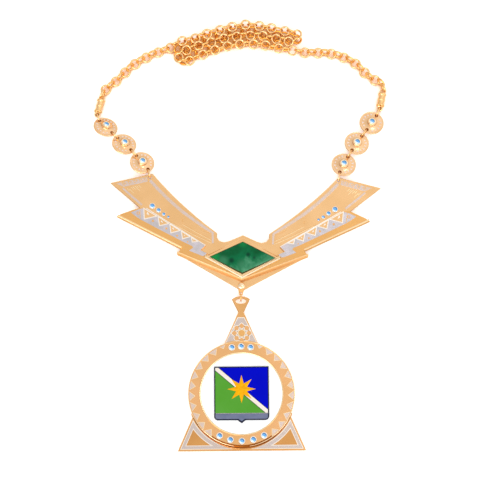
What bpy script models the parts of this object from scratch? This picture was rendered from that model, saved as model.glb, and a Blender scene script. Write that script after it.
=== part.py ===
"""Chain of office with its badge, lying flat: a winged breast plate with a green rhombus stone, a
triangular badge with a round enamel, six stone-set discs, two barrel connectors and one long chain.

Sizes are millimetres, and become metres where a mesh is made. X runs to the right across the wings,
Y up towards the chain and Z up from the surface. The origin is on the back of the breast plate, under
the centre of the green stone.
"""

import math

import bmesh
import bpy
from mathutils import Matrix, Vector

MM = 0.001

# Levels above the surface, from the back plate up to the stone. Separate pieces keep GAP.
GAP = 0.3
BACK_TOP = 1.8
WING_BOTTOM, WING_TOP = 1.5, 3.0
FRONT_BOTTOM = WING_TOP + GAP
FRONT_TOP = FRONT_BOTTOM + 0.9
BEZEL_BOTTOM = FRONT_TOP + GAP
BEZEL_TOP = BEZEL_BOTTOM + 1.1
STONE_TOP = BEZEL_TOP + 0.8
CHAMFER = 0.25
THROUGH = 1.0  # how far a cutter runs past a face

# Raised rails along the front plate's lower edges stand in and out of the plate's own edge.
RAIL_BOTTOM = FRONT_BOTTOM + 0.2
RAIL_TOP = FRONT_TOP + 0.7
RAIL_WIDTH = 1.5
CHEVRON_RAIL_WIDTH = 0.85
RAIL_OVERHANG = 0.15
RAIL_CHAMFER = 0.3

# The breast plate is turned a little clockwise as it lies. Its wings were cut by hand and differ.
BREAST_TURN = math.radians(-1.1)
WINGS = {
    "right": {"tip": (85.6, 47.0), "corner": (59.05, 53.5), "notch": (66.2, 31.2)},
    "left": {"tip": (-83.8, 47.2), "corner": (-57.4, 53.7), "notch": (-64.4, 31.1)},
}
WING_INNER = (16.1, 15.9)
WING_INNER_SAG = 1.6
WING_HOLE = (58.9, 51.2)
LINK_HOLE_RADIUS = 1.1
APEX = (0.0, 14.9)
THROAT = [(16.2, 13.2), (14.6, 10.9), (11.6, 10.1), (8.9, 10.8)]
WING_UNDER = [(62.0, 26.0), (30.0, 5.0), (0.0, -9.0)]
BACK_TIP = (40.85, 2.7)
BACK_FOOT = (0.0, -20.3)
BACK_HEAD = (0.0, 11.5)

# The front plate carries the ornament bands and the rails.
FEATHER_TIP = (78.5, 24.8)
FEATHER_SHOULDER = (76.2, 26.7)
FEATHER_STEP = (38.3, 4.9)
CHEVRON_TIP = (40.3, 2.25)
CHEVRON_FOOT = (0.0, -14.0)
BAND_START = (61.0, 30.9)
BAND_END = [(22.9, 7.5), (25.8, 4.4), (21.6, 2.6), (23.9, 0.4)]
FRONT_HEAD = (0.0, 12.1)

# Rhombus stone and its bezel, given as half width and half height.
BEZEL_HALF = (23.6, 12.7)
BEZEL_SEAT_HALF = (20.4, 10.1)
BEZEL_SEAT = BEZEL_BOTTOM + 0.4
STONE_HALF = (19.8, 9.8)
STONE_BEVEL = 0.5

# Round stones on each wing: place and diameter.
WING_STONES = [(56.9, 32.5, 3.7), (52.9, 29.8, 3.0), (49.6, 27.4, 2.3), (46.7, 25.6, 1.8)]
STONE_SINK = 0.3
STONE_RISE = 0.7
TABLE_SHARE = 2 / 3
STONE_SIDES = 8

# Badge below, in its own frame: origin at the centre of the round enamel.
BADGE_PLACE = (-0.5, -84.6)
BADGE_TURN = math.radians(0.5)
BADGE_BOTTOM, BADGE_TOP = 1.3, 2.5
BADGE_DISC_RADIUS = 31.8
BOSS_RADIUS = 30.0
HEAD_TOP = 60.8
HEAD_CORNER = (5.6, 58.9)
WAIST = (1.7, 50.75)
BASE_CORNER = (38.5, -34.3)
EYE_CENTRE_Y = 57.7
EYE_HALF = (3.3, 1.7)
RING_OUTER, RING_INNER = 32.2, 25.0
RING_BOTTOM = BADGE_TOP + GAP
RING_TOP = RING_BOTTOM + 2.0
RING_LIP = 0.45
RING_LIP_RISE = 0.2
RING_STONE_RADIUS = 28.8
RING_STONE_DIAMETER = 3.6
RING_STONE_ANGLES = [78.6, 90.0, 101.4, 242.4, 256.2, 270.0, 283.8, 297.6]
RING_SIDES = 64
ENAMEL_RADIUS = RING_INNER - GAP
ENAMEL_TOP = RING_TOP - 0.4
SHIELD_HALF_WIDTH = 16.5
SHIELD_TOP_Y, SHIELD_BOTTOM_Y, SHIELD_POINT_Y = 16.4, -16.2, -18.1
SHIELD_CORNER = 2.2
SHIELD_POINT_HALF = 2.4
SHIELD_BOTTOM = ENAMEL_TOP + GAP
SHIELD_TOP = SHIELD_BOTTOM + 0.5

# Bail from the back plate's foot to the small ring in the badge's eye.
BAIL_PLACE = (-0.35, -17.9)
EYE_RING_RADIUS = 2.3
EYE_RING_WIRE = 0.8
EYE_RING_Y = 60.1
FLOOR_GAP = 0.05
BAIL_SECTIONS = [  # distance along, half width, half height, height of the middle
    {"along": -2.1, "half_width": 0.7, "half_height": 0.5, "middle": 3.4},
    {"along": -1.5, "half_width": 1.6, "half_height": 1.1, "middle": 3.4},
    {"along": -0.3, "half_width": 2.2, "half_height": 1.5, "middle": 3.6},
    {"along": 0.9, "half_width": 2.0, "half_height": 1.2, "middle": 3.5},
    {"along": 1.9, "half_width": 1.6, "half_height": 0.8, "middle": 3.1},
    {"along": 3.4, "half_width": 1.35, "half_height": 0.55, "middle": 2.8},
    {"along": 5.0, "half_width": 1.05, "half_height": 0.5, "middle": 2.75},
    {"along": 5.5, "half_width": 0.5, "half_height": 0.35, "middle": 2.75},
]
BAIL_SIDES = 12
BAIL_HOLE_RADIUS = 0.72
PIN_RADIUS = 0.7
PIN_HOLE_RADIUS = 1.0
PIN_BOTTOM, PIN_TOP = 0.3, 3.4

# Discs: a flat rim, a cone and a bezel with one stone. Lean tips the face towards +X and +Y.
DISC_SIDES = 28
DISC_HOLE_AT = 5.9
DISC_RIM_MIDDLE = 0.45
DISC_PROFILE = [  # radius, height
    (7.55, 0.0), (7.7, 0.15), (7.7, 0.7), (7.5, 0.9), (4.8, 1.0),
    (2.65, 2.6), (2.65, 3.1), (1.8, 3.1), (1.0, 3.6), (0.0, 3.6),
]
DISCS = [
    {"name": "disc_left_1", "x": -86.6, "y": 84.9, "rise": 4.0, "lean_x": 17.0, "lean_y": 24.5},
    {"name": "disc_left_2", "x": -74.7, "y": 73.8, "rise": 3.3, "lean_x": 14.0, "lean_y": 19.0},
    {"name": "disc_left_3", "x": -63.2, "y": 61.8, "rise": 2.6, "lean_x": 11.0, "lean_y": 14.0},
    {"name": "disc_right_1", "x": 81.4, "y": 88.2, "rise": 2.7, "lean_x": 4.0, "lean_y": 6.0},
    {"name": "disc_right_2", "x": 71.8, "y": 74.7, "rise": 2.6, "lean_x": 5.0, "lean_y": 6.0},
    {"name": "disc_right_3", "x": 63.4, "y": 60.5, "rise": 2.7, "lean_x": 2.0, "lean_y": 8.0},
]
JUMP_RADIUS = 2.7
JUMP_WIRE = 0.84

# Barrel connectors: lower hole, direction, and a turned profile along the axis.
CONNECTORS = [
    {"name": "connector_left", "x": -92.1, "y": 94.0, "aim_x": 0.226, "aim_y": 0.974},
    {"name": "connector_right", "x": 86.8, "y": 98.1, "aim_x": 0.185, "aim_y": 0.983},
]
CONNECTOR_HEIGHT = 2.6
CONNECTOR_PROFILE = [  # radius, distance along
    (0.0, 1.7), (2.3, 1.7), (2.5, 1.9), (2.5, 2.6), (1.9, 3.0),
    (1.9, 8.8), (2.5, 9.2), (2.5, 9.9), (2.3, 10.1), (0.0, 10.1),
]
LUG_HALF_WIDTH = 1.8
LUG_HALF_HEIGHT = 0.5
LUG_END = 1.7
UPPER_LUG_AT = 11.6

# The chain as one tube along its route, from the left connector to the right one.
CHAIN_DIAMETER = 5.8
CHAIN_POINTS = 78
CHAIN_ROUTE = [
    (-89.0, 107.6), (-88.6, 109.4), (-86.2, 112.0), (-80.0, 117.3), (-74.0, 123.8), (-67.2, 129.6),
    (-56.5, 135.7), (-48.1, 139.6), (-41.0, 143.9), (-32.6, 146.4), (-24.9, 149.0),
    (-17.6, 151.8), (-8.4, 154.6), (-0.8, 156.2), (12.1, 155.6), (22.8, 153.8),
    (31.0, 152.0), (35.2, 147.9), (31.0, 144.0), (23.8, 145.8), (16.1, 148.2),
    (7.7, 149.4), (-1.2, 148.6), (-9.3, 147.0), (-18.1, 144.5), (-25.5, 141.9),
    (-33.0, 139.6), (-39.0, 137.0), (-41.4, 133.2), (-38.0, 130.0), (-31.5, 130.6),
    (-26.0, 133.6), (-14.6, 138.2), (-5.9, 140.6), (2.6, 142.0), (11.4, 141.6),
    (20.2, 139.6), (28.7, 137.6), (37.5, 136.4), (46.4, 136.5), (55.6, 135.7),
    (63.8, 133.3), (71.5, 129.2), (77.0, 123.4), (82.2, 118.5), (85.8, 117.0), (88.4, 115.0),
    (89.4, 113.0), (89.4, 111.8),
]


def clear_scene():
    for old in list(bpy.data.objects):
        bpy.data.objects.remove(old, do_unlink=True)


def finish(name, color, roughness, metallic):
    """A plain finish: base colour, roughness and metallic value."""
    made = bpy.data.materials.new(name)
    made.use_nodes = True
    shader = made.node_tree.nodes["Principled BSDF"]
    shader.inputs["Base Color"].default_value = (*color, 1.0)
    shader.inputs["Roughness"].default_value = roughness
    shader.inputs["Metallic"].default_value = metallic
    return made


def add_object(name, solid, made_of=None, parent=None):
    """An object from a bmesh drawn in millimetres."""
    bmesh.ops.scale(solid, vec=(MM, MM, MM), verts=solid.verts)
    mesh = bpy.data.meshes.new(name)
    solid.to_mesh(mesh)
    solid.free()
    added = bpy.data.objects.new(name, mesh)
    bpy.context.scene.collection.objects.link(added)
    added.parent = parent
    if made_of:
        mesh.materials.append(made_of)
    return added


def boolean(target, label, solid, operation):
    """Joins to the target, or cuts from it, a hidden helper that moves with it."""
    helper = add_object(f"{target.name}_{label}", solid, parent=target)
    helper.hide_render = True
    helper.display_type = "WIRE"
    step = target.modifiers.new(label, "BOOLEAN")
    step.object = helper
    step.operation = operation
    step.solver = "EXACT"


def add_empty(name, place, turn):
    frame = bpy.data.objects.new(name, None)
    bpy.context.scene.collection.objects.link(frame)
    frame.location = Vector((*place, 0.0)) * MM
    frame.rotation_euler.z = turn
    return frame


def place_on_plane(place, turn, point):
    """A point of a turned frame, in the shared frame."""
    moved = Matrix.Rotation(turn, 2) @ Vector(point)
    return (moved.x + place[0], moved.y + place[1])


def smooth(target, angle=math.radians(40)):
    target.data.shade_smooth()
    target.data.set_sharp_from_angle(angle=angle)


def arc_between(start, end, bulge, steps):
    """Points between start and end on the arc that stands out by bulge to the left."""
    start, end = Vector(start), Vector(end)
    half = (end - start).length / 2
    radius = (half * half + bulge * bulge) / (2 * bulge)
    side = Vector((start.y - end.y, end.x - start.x)).normalized()
    centre = (start + end) / 2 + side * (bulge - radius)
    sweep = 2 * math.asin(half / radius)
    spoke = start - centre
    return [tuple(centre + Matrix.Rotation(-sweep * step / steps, 2) @ spoke) for step in range(1, steps)]


def mirrored(half):
    """The whole outline from its right half, listed from the top down."""
    left = [(-x, y) for x, y in reversed(half) if x > 0]
    return half + left


def both_sides(right, left):
    """A closed outline from its two halves, each listed from the top down."""
    return right + [point for point in reversed(left) if point[0] < 0]


def circle(radius, sides, centre=(0.0, 0.0)):
    turns = [2 * math.pi * side / sides for side in range(sides)]
    return [(centre[0] + radius * math.cos(a), centre[1] + radius * math.sin(a)) for a in turns]


def plate(outline, bottom, top, chamfer=0.0):
    """A flat plate with the outline's shape, and a chamfer round its upper edge."""
    solid = bmesh.new()
    face = solid.faces.new([solid.verts.new((x, y, bottom)) for x, y in outline])
    face.normal_update()
    if face.normal.z > 0:
        face.normal_flip()
    raised = bmesh.ops.extrude_face_region(solid, geom=[face])["geom"]
    lid = [part for part in raised if isinstance(part, bmesh.types.BMVert)]
    bmesh.ops.translate(solid, vec=(0, 0, top - bottom), verts=lid)
    if chamfer:
        edges = [edge for edge in solid.edges if all(v.co.z > top - 1e-6 for v in edge.verts)]
        bmesh.ops.bevel(
            solid, geom=edges, offset=chamfer, segments=1, affect="EDGES", profile=0.5, clamp_overlap=True
        )
    bmesh.ops.recalc_face_normals(solid, faces=solid.faces)
    return solid


def turned(profile, sides, closed=False):
    """A profile of (radius, height) points turned about Z."""
    solid = bmesh.new()
    points = [solid.verts.new((radius, 0, height)) for radius, height in profile]
    edges = [solid.edges.new(pair) for pair in zip(points, points[1:])]
    if closed:
        edges.append(solid.edges.new((points[-1], points[0])))
    origin, up = (0, 0, 0), (0, 0, 1)
    whole = {"angle": 2 * math.pi, "steps": sides, "use_merge": True}
    bmesh.ops.spin(solid, geom=points + edges, cent=origin, axis=up, **whole)
    bmesh.ops.remove_doubles(solid, verts=solid.verts, dist=1e-4)
    bmesh.ops.recalc_face_normals(solid, faces=solid.faces)
    return solid


def wire_ring(radius, wire, sides=20, wire_sides=6):
    """A round ring of round wire in the XZ plane."""
    section = [(radius + x, z) for x, z in circle(wire / 2, wire_sides)]
    solid = turned(section, sides, closed=True)
    bmesh.ops.rotate(solid, cent=(0, 0, 0), matrix=Matrix.Rotation(math.pi / 2, 3, "X"), verts=solid.verts)
    return solid


def lofted(rings):
    """A closed solid through rings of points, all with the same count."""
    solid = bmesh.new()
    loops = [[solid.verts.new(point) for point in ring] for ring in rings]
    for lower, upper in zip(loops, loops[1:]):
        for here in range(len(lower)):
            after = (here + 1) % len(lower)
            solid.faces.new((lower[here], lower[after], upper[after], upper[here]))
    solid.faces.new(loops[0])
    solid.faces.new(loops[-1])
    bmesh.ops.recalc_face_normals(solid, faces=solid.faces)
    return solid


def combined(solids):
    """Several solids that don't meet, as one bmesh."""
    whole = bmesh.new()
    for solid in solids:
        mesh = bpy.data.meshes.new("part")
        solid.to_mesh(mesh)
        solid.free()
        whole.from_mesh(mesh)
        bpy.data.meshes.remove(mesh)
    return whole


def peg(centre, radius, bottom, top, sides=12):
    return plate(circle(radius, sides, centre), bottom, top)


def round_stone(centre, diameter, base):
    """A small faceted stone: a straight girdle and a sloping crown."""
    girdle = diameter / 2
    table = girdle * TABLE_SHARE
    levels = [(girdle, base - STONE_SINK), (girdle, base + STONE_RISE / 2), (table, base + STONE_RISE)]
    return lofted([[(x, y, z) for x, y in circle(radius, STONE_SIDES, centre)] for radius, z in levels])


def rhombus(half):
    """The four corners of a rhombus from its half width and half height."""
    width, height = half
    return [(0.0, height), (width, 0.0), (0.0, -height), (-width, 0.0)]


def wing_half(wing, side):
    inner = arc_between(WING_INNER, (side * wing["corner"][0], wing["corner"][1]), -WING_INNER_SAG, 6)
    near = [(side * x, y) for x, y in [APEX, *reversed(THROAT), WING_INNER, *inner]]
    under = [(side * x, y) for x, y in WING_UNDER]
    return [*near, wing["corner"], wing["tip"], wing["notch"], *under]


def front_half(wing, side):
    band = [(side * x, y) for x, y in [FRONT_HEAD, *reversed(BAND_END), BAND_START]]
    low = [FEATHER_SHOULDER, FEATHER_TIP, FEATHER_STEP, CHEVRON_TIP, CHEVRON_FOOT]
    return [*band, wing["notch"], *[(side * x, y) for x, y in low]]


def strip(start, end, width):
    """A straight strip beside the line from start to end, on its left."""
    start, end = Vector(start), Vector(end)
    side = Vector((start.y - end.y, end.x - start.x)).normalized()
    over = side * RAIL_OVERHANG
    return [tuple(start - over), tuple(end - over), tuple(end + side * width), tuple(start + side * width)]


def chevron_rail():
    """The V of the rail below the stone, from its tips to its foot."""
    slope = (Vector(CHEVRON_TIP) - Vector(CHEVRON_FOOT)).normalized()
    lift = CHEVRON_RAIL_WIDTH / slope.x
    tip_x, tip_y = CHEVRON_TIP
    upper = [(0.0, CHEVRON_FOOT[1] + lift), (tip_x, tip_y + lift)]
    lower = [(tip_x + RAIL_OVERHANG, tip_y - RAIL_OVERHANG), (0.0, CHEVRON_FOOT[1] - RAIL_OVERHANG)]
    return mirrored(upper + lower)


def build_breast(gold, stone, breast):
    right, left = WINGS["right"], WINGS["left"]
    wings = both_sides(wing_half(right, 1), wing_half(left, -1))
    base = add_object("breast_base", plate(wings, WING_BOTTOM, WING_TOP, CHAMFER), gold, breast)
    back = mirrored([BACK_HEAD, BACK_TIP, BACK_FOOT])
    boolean(base, "back_plate", plate(back, 0.0, BACK_TOP, CHAMFER), "UNION")
    stones = [
        round_stone((side * x, y), size, WING_TOP) for side in (-1, 1) for x, y, size in WING_STONES
    ]
    boolean(base, "stones", combined(stones), "UNION")
    x, y = WING_HOLE
    levels = (WING_BOTTOM - THROUGH, WING_TOP + THROUGH)
    holes = [peg((side * x, y), LINK_HOLE_RADIUS, *levels) for side in (-1, 1)]
    holes.append(peg(BAIL_PLACE, PIN_HOLE_RADIUS, -THROUGH, BACK_TOP + THROUGH))
    boolean(base, "holes", combined(holes), "DIFFERENCE")

    feathers = both_sides(front_half(right, 1), front_half(left, -1))
    front = add_object("front_plate", plate(feathers, FRONT_BOTTOM, FRONT_TOP), gold, breast)
    bar = strip(FEATHER_STEP, FEATHER_TIP, RAIL_WIDTH)
    outlines = [[(side * x, y) for x, y in bar] for side in (-1, 1)] + [chevron_rail()]
    rails = [plate(outline, RAIL_BOTTOM, RAIL_TOP, RAIL_CHAMFER) for outline in outlines]
    boolean(front, "rails", combined(rails), "UNION")

    setting = plate(rhombus(BEZEL_HALF), BEZEL_BOTTOM, BEZEL_TOP, CHAMFER * 2)
    bezel = add_object("stone_bezel", setting, gold, breast)
    seat = plate(rhombus(BEZEL_SEAT_HALF), BEZEL_SEAT, BEZEL_TOP + THROUGH)
    boolean(bezel, "seat", seat, "DIFFERENCE")
    cut_stone = plate(rhombus(STONE_HALF), BEZEL_SEAT + GAP, STONE_TOP, STONE_BEVEL)
    add_object("centre_stone", cut_stone, stone, breast)


def badge_outline():
    """Head, waist and triangle, with the round middle standing out of its sides."""
    waist, corner = Vector(WAIST), Vector(BASE_CORNER)
    aim = (corner - waist).normalized()
    nearest = -waist.dot(aim)
    reach = math.sqrt(BADGE_DISC_RADIUS**2 - (waist + aim * nearest).length_squared)
    enter, leave = waist + aim * (nearest - reach), waist + aim * (nearest + reach)
    first = math.atan2(enter.y, enter.x)
    last = math.atan2(leave.y, leave.x)
    turns = [first + (last - first) * step / 12 for step in range(13)]
    round_side = [(BADGE_DISC_RADIUS * math.cos(a), BADGE_DISC_RADIUS * math.sin(a)) for a in turns]
    head = arc_between((-HEAD_CORNER[0], HEAD_CORNER[1]), HEAD_CORNER, HEAD_TOP - HEAD_CORNER[1], 6)
    half_head = [point for point in head if point[0] > 1e-6]
    return mirrored([(0.0, HEAD_TOP), *half_head, HEAD_CORNER, WAIST, *round_side, BASE_CORNER])


def shield_outline():
    width, corner = SHIELD_HALF_WIDTH, SHIELD_CORNER
    centre = (width - corner, SHIELD_BOTTOM_Y + corner)
    turns = [-math.pi / 2 * step / 4 for step in range(5)]
    rounded = [(centre[0] + corner * math.cos(a), centre[1] + corner * math.sin(a)) for a in turns]
    foot = [(SHIELD_POINT_HALF, SHIELD_BOTTOM_Y), (0.0, SHIELD_POINT_Y)]
    half = [(width, SHIELD_TOP_Y), *rounded, *foot]
    return mirrored(half)


def build_badge(gold, white, blue, badge):
    base = add_object("badge_plate", plate(badge_outline(), BADGE_BOTTOM, BADGE_TOP, CHAMFER), gold, badge)
    boolean(base, "boss", plate(circle(BOSS_RADIUS, RING_SIDES), 0.0, BADGE_BOTTOM + 0.5), "UNION")
    eye = [(EYE_HALF[0] * x, EYE_CENTRE_Y + EYE_HALF[1] * y) for x, y in circle(1.0, 16)]
    boolean(base, "eye", plate(eye, BADGE_BOTTOM - THROUGH, BADGE_TOP + THROUGH), "DIFFERENCE")

    lip, rise = RING_LIP, RING_LIP_RISE
    profile = [
        (RING_INNER, RING_BOTTOM), (RING_OUTER, RING_BOTTOM), (RING_OUTER, RING_TOP),
        (RING_OUTER - lip / 2, RING_TOP + rise), (RING_OUTER - lip, RING_TOP),
        (RING_INNER + lip, RING_TOP), (RING_INNER + lip / 2, RING_TOP + rise), (RING_INNER, RING_TOP),
    ]
    ring = add_object("badge_ring", turned(profile, RING_SIDES, closed=True), gold, badge)
    smooth(ring)
    stones = []
    for angle in RING_STONE_ANGLES:
        turn = math.radians(angle)
        centre = (RING_STONE_RADIUS * math.cos(turn), RING_STONE_RADIUS * math.sin(turn))
        stones.append(round_stone(centre, RING_STONE_DIAMETER, RING_TOP))
    boolean(ring, "stones", combined(stones), "UNION")

    enamel = plate(circle(ENAMEL_RADIUS, RING_SIDES), RING_BOTTOM, ENAMEL_TOP)
    add_object("enamel_disc", enamel, white, badge)
    add_object("shield", plate(shield_outline(), SHIELD_BOTTOM, SHIELD_TOP), blue, badge)


def build_bail(gold):
    """A bead that narrows to an eyed tongue, pinned through the back plate, and the ring below it."""
    start = place_on_plane((0.0, 0.0), BREAST_TURN, BAIL_PLACE)
    ring_x, ring_y = place_on_plane(BADGE_PLACE, BADGE_TURN, (0.0, EYE_RING_Y))
    ring_height = FLOOR_GAP + EYE_RING_WIRE / 2 + EYE_RING_RADIUS
    ring = add_object("eye_ring", wire_ring(EYE_RING_RADIUS, EYE_RING_WIRE), gold)
    ring.location = Vector((ring_x, ring_y, ring_height)) * MM
    ring.rotation_euler.z = math.pi / 2 + BADGE_TURN
    smooth(ring)

    heading = Vector((ring_x, ring_y + EYE_RING_RADIUS)) - Vector(start)
    sections = []
    for row in BAIL_SECTIONS:
        wide, high, middle = row["half_width"], row["half_height"], row["middle"]
        sections.append([(row["along"], wide * x, middle + high * z) for x, z in circle(1.0, BAIL_SIDES)])
    bail = add_object("bail", lofted(sections), gold)
    bail.location = Vector((*start, 0.0)) * MM
    bail.rotation_euler.z = math.atan2(heading.y, heading.x)
    boolean(bail, "pin", peg((0.0, 0.0), PIN_RADIUS, PIN_BOTTOM, PIN_TOP), "UNION")
    tongue = BAIL_SECTIONS[-1]["middle"]
    eye = peg((heading.length, 0.0), BAIL_HOLE_RADIUS, tongue - THROUGH, tongue + THROUGH)
    boolean(bail, "eye", eye, "DIFFERENCE")
    smooth(bail)


def chain_order(side):
    """The discs of one side from the chain down, with the points before and after them."""
    discs = [row for row in DISCS if side in row["name"]]
    connector = next(row for row in CONNECTORS if side in row["name"])
    sign = -1 if side == "left" else 1
    hole = place_on_plane((0.0, 0.0), BREAST_TURN, (sign * WING_HOLE[0], WING_HOLE[1]))
    return connector, discs, hole


def disc_matrix(row, before, after):
    """Local X along the chain, local Z along the leaning face."""
    lean = [math.tan(math.radians(row[side])) for side in ("lean_x", "lean_y")]
    normal = Vector((*lean, 1)).normalized()
    along = Vector((after[0] - before[0], after[1] - before[1], 0.0)).normalized()
    across = normal.cross(along).normalized()
    along = across.cross(normal)
    turn = Matrix((along, across, normal)).transposed().to_4x4()
    return Matrix.Translation(Vector((row["x"], row["y"], row["rise"])) * MM) @ turn


def build_discs(gold, side):
    """Returns the places of the holes from the chain down to the wing."""
    connector, discs, wing_hole = chain_order(side)
    places = [(connector["x"], connector["y"])] + [(row["x"], row["y"]) for row in discs] + [wing_hole]
    holes = [Vector((*places[0], CONNECTOR_HEIGHT))]
    for number, row in enumerate(discs):
        disc = add_object(row["name"], turned([(0.0, 0.0), *DISC_PROFILE], DISC_SIDES), gold)
        disc.matrix_world = disc_matrix(row, places[number], places[number + 2])
        smooth(disc)
        pegs = [peg((end * DISC_HOLE_AT, 0.0), LINK_HOLE_RADIUS, -THROUGH, 3 * THROUGH) for end in (-1, 1)]
        boolean(disc, "holes", combined(pegs), "DIFFERENCE")
        for end in (-1, 1):
            middle = Vector((end * DISC_HOLE_AT, 0.0, DISC_RIM_MIDDLE)) * MM
            holes.append(disc.matrix_world @ middle / MM)
    holes.append(Vector((*wing_hole, (WING_BOTTOM + WING_TOP) / 2)))
    return holes


def build_jump_rings(gold, side, holes):
    """Upright rings, each through two facing holes."""
    lowest = FLOOR_GAP + JUMP_RADIUS + JUMP_WIRE / 2
    for number, (one, other) in enumerate(zip(holes[::2], holes[1::2]), 1):
        centre = (one + other) / 2
        centre.z = max(centre.z, lowest)
        ring = add_object(f"jump_ring_{side}_{number}", wire_ring(JUMP_RADIUS, JUMP_WIRE), gold)
        ring.location = centre * MM
        ring.rotation_euler.z = math.atan2(other.y - one.y, other.x - one.x)
        smooth(ring)


def build_connector(gold, row):
    solid = turned(CONNECTOR_PROFILE, 16)
    bmesh.ops.rotate(solid, cent=(0, 0, 0), matrix=Matrix.Rotation(math.pi / 2, 3, "Y"), verts=solid.verts)
    connector = add_object(row["name"], solid, gold)
    connector.location = Vector((row["x"], row["y"], CONNECTOR_HEIGHT)) * MM
    connector.rotation_euler.z = math.atan2(row["aim_y"], row["aim_x"])
    smooth(connector)
    turns = [math.pi * step / 8 for step in range(9)]
    upper_end = [(UPPER_LUG_AT + LUG_END * math.sin(a), LUG_HALF_WIDTH * math.cos(a)) for a in turns]
    lower_end = [(-LUG_END * math.sin(a), -LUG_HALF_WIDTH * math.cos(a)) for a in turns]
    tongue = plate(upper_end + lower_end, -LUG_HALF_HEIGHT, LUG_HALF_HEIGHT)
    boolean(connector, "tongue", tongue, "UNION")
    holes = [peg((at, 0.0), LINK_HOLE_RADIUS, -THROUGH, THROUGH) for at in (0.0, UPPER_LUG_AT)]
    boolean(connector, "holes", combined(holes), "DIFFERENCE")


def smooth_route(points, count):
    """Even points along a smooth curve through the route (a Catmull-Rom spline)."""
    padded = [points[0] * 2 - points[1], *points, points[-1] * 2 - points[-2]]
    fine, steps = [], 20
    for a, b, c, d in zip(padded, padded[1:], padded[2:], padded[3:]):
        linear, square, cubic = c - a, 2 * a - 5 * b + 4 * c - d, 3 * b - a - 3 * c + d
        turns = [step / steps for step in range(steps)]
        fine += [b + (linear * t + square * t**2 + cubic * t**3) / 2 for t in turns]
    fine.append(points[-1])
    lengths = [0.0]
    for here, after in zip(fine, fine[1:]):
        lengths.append(lengths[-1] + (after - here).length)
    even, at = [], 0
    for number in range(count):
        wanted = lengths[-1] * number / (count - 1)
        while at < len(fine) - 2 and lengths[at + 1] < wanted:
            at += 1
        share = (wanted - lengths[at]) / (lengths[at + 1] - lengths[at])
        even.append(fine[at].lerp(fine[at + 1], min(share, 1.0)))
    return even


def build_chain(gold):
    route = smooth_route([Vector((x, y, CHAIN_DIAMETER / 2)) for x, y in CHAIN_ROUTE], CHAIN_POINTS)
    curve = bpy.data.curves.new("chain", "CURVE")
    curve.dimensions = "3D"
    curve.bevel_depth = CHAIN_DIAMETER / 2 * MM
    curve.bevel_resolution = 2
    curve.use_fill_caps = True
    curve.materials.append(gold)
    spline = curve.splines.new("POLY")
    spline.points.add(len(route) - 1)
    for point, place in zip(spline.points, route):
        point.co = (*(place * MM), 1.0)
    chain = bpy.data.objects.new("chain", curve)
    bpy.context.scene.collection.objects.link(chain)


def main():
    clear_scene()
    gold = finish("gold_plate", (0.90, 0.55, 0.22), 0.22, 1.0)
    green = finish("green_stone", (0.02, 0.13, 0.06), 0.15, 0.0)
    white = finish("white_enamel", (0.92, 0.92, 0.92), 0.15, 0.0)
    blue = finish("blue_enamel", (0.01, 0.02, 0.55), 0.2, 0.0)
    build_breast(gold, green, add_empty("breast", (0.0, 0.0), BREAST_TURN))
    build_badge(gold, white, blue, add_empty("badge", BADGE_PLACE, BADGE_TURN))
    build_bail(gold)
    for side in ("left", "right"):
        build_jump_rings(gold, side, build_discs(gold, side))
    for row in CONNECTORS:
        build_connector(gold, row)
    build_chain(gold)


main()
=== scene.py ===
import math
import random

import bpy
from mathutils import Matrix, Vector


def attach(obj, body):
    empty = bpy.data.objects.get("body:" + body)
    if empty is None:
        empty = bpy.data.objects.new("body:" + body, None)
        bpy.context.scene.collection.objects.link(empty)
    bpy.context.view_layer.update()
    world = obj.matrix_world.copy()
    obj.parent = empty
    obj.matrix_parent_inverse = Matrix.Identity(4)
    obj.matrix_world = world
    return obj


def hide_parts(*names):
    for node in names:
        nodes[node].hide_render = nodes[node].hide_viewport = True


# The looks of a chain of office that lies flat: gilt plates with silver ornament, stones and enamel.
# Everything is drawn in millimetres in the frame of the piece that carries it, then brought to metres.

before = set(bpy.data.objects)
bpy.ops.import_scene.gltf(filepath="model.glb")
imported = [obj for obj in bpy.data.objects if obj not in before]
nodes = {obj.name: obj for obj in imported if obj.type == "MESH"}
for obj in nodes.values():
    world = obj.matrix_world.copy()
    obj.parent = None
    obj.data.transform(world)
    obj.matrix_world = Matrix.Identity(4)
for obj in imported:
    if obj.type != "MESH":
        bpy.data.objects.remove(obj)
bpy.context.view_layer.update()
random.seed(7)
print("frame loaded:", len(nodes), "nodes")


# ---- the workbench: moving, selecting, drawing up, joining ----

def moved(x, y=0.0, z=0.0):
    return Matrix.Translation((x, y, z))


def turned(degrees, axis="Z"):
    return Matrix.Rotation(math.radians(degrees), 4, axis)


def sized(x, y, z):
    return Matrix.Diagonal((x, y, z, 1))


def facing(along):
    return Matrix.Rotation(math.atan2(along[1], along[0]), 4, "Z")


toMetres = Matrix.Scale(0.001, 4)
breastPlace, badgePlace = turned(-1.1), moved(-0.5, -84.6) @ turned(0.5)
breastFrame, badgeFrame = toMetres @ breastPlace, toMetres @ badgePlace
asPlaced = Matrix()


def pickUp(*pieces):
    bpy.ops.object.select_all(action="DESELECT")
    for piece in pieces:
        piece.select_set(True)
    bpy.context.view_layer.objects.active = pieces[0]


def named(name):
    piece = bpy.context.object
    piece.name = piece.data.name = name
    return piece


def startEdit():
    bpy.ops.object.mode_set(mode="EDIT")
    bpy.ops.mesh.select_all(action="SELECT")


def closeEdit():
    bpy.ops.mesh.select_all(action="SELECT")
    bpy.ops.mesh.remove_doubles(threshold=0.0001)
    bpy.ops.mesh.normals_make_consistent(inside=False)
    bpy.ops.object.mode_set(mode="OBJECT")


def drawOut(reach):
    bpy.ops.mesh.extrude_region_move(TRANSFORM_OT_translate={"value": tuple(reach)})


def place(piece, matrix):
    piece.data.transform(matrix)
    piece.data.update()
    return piece


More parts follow.
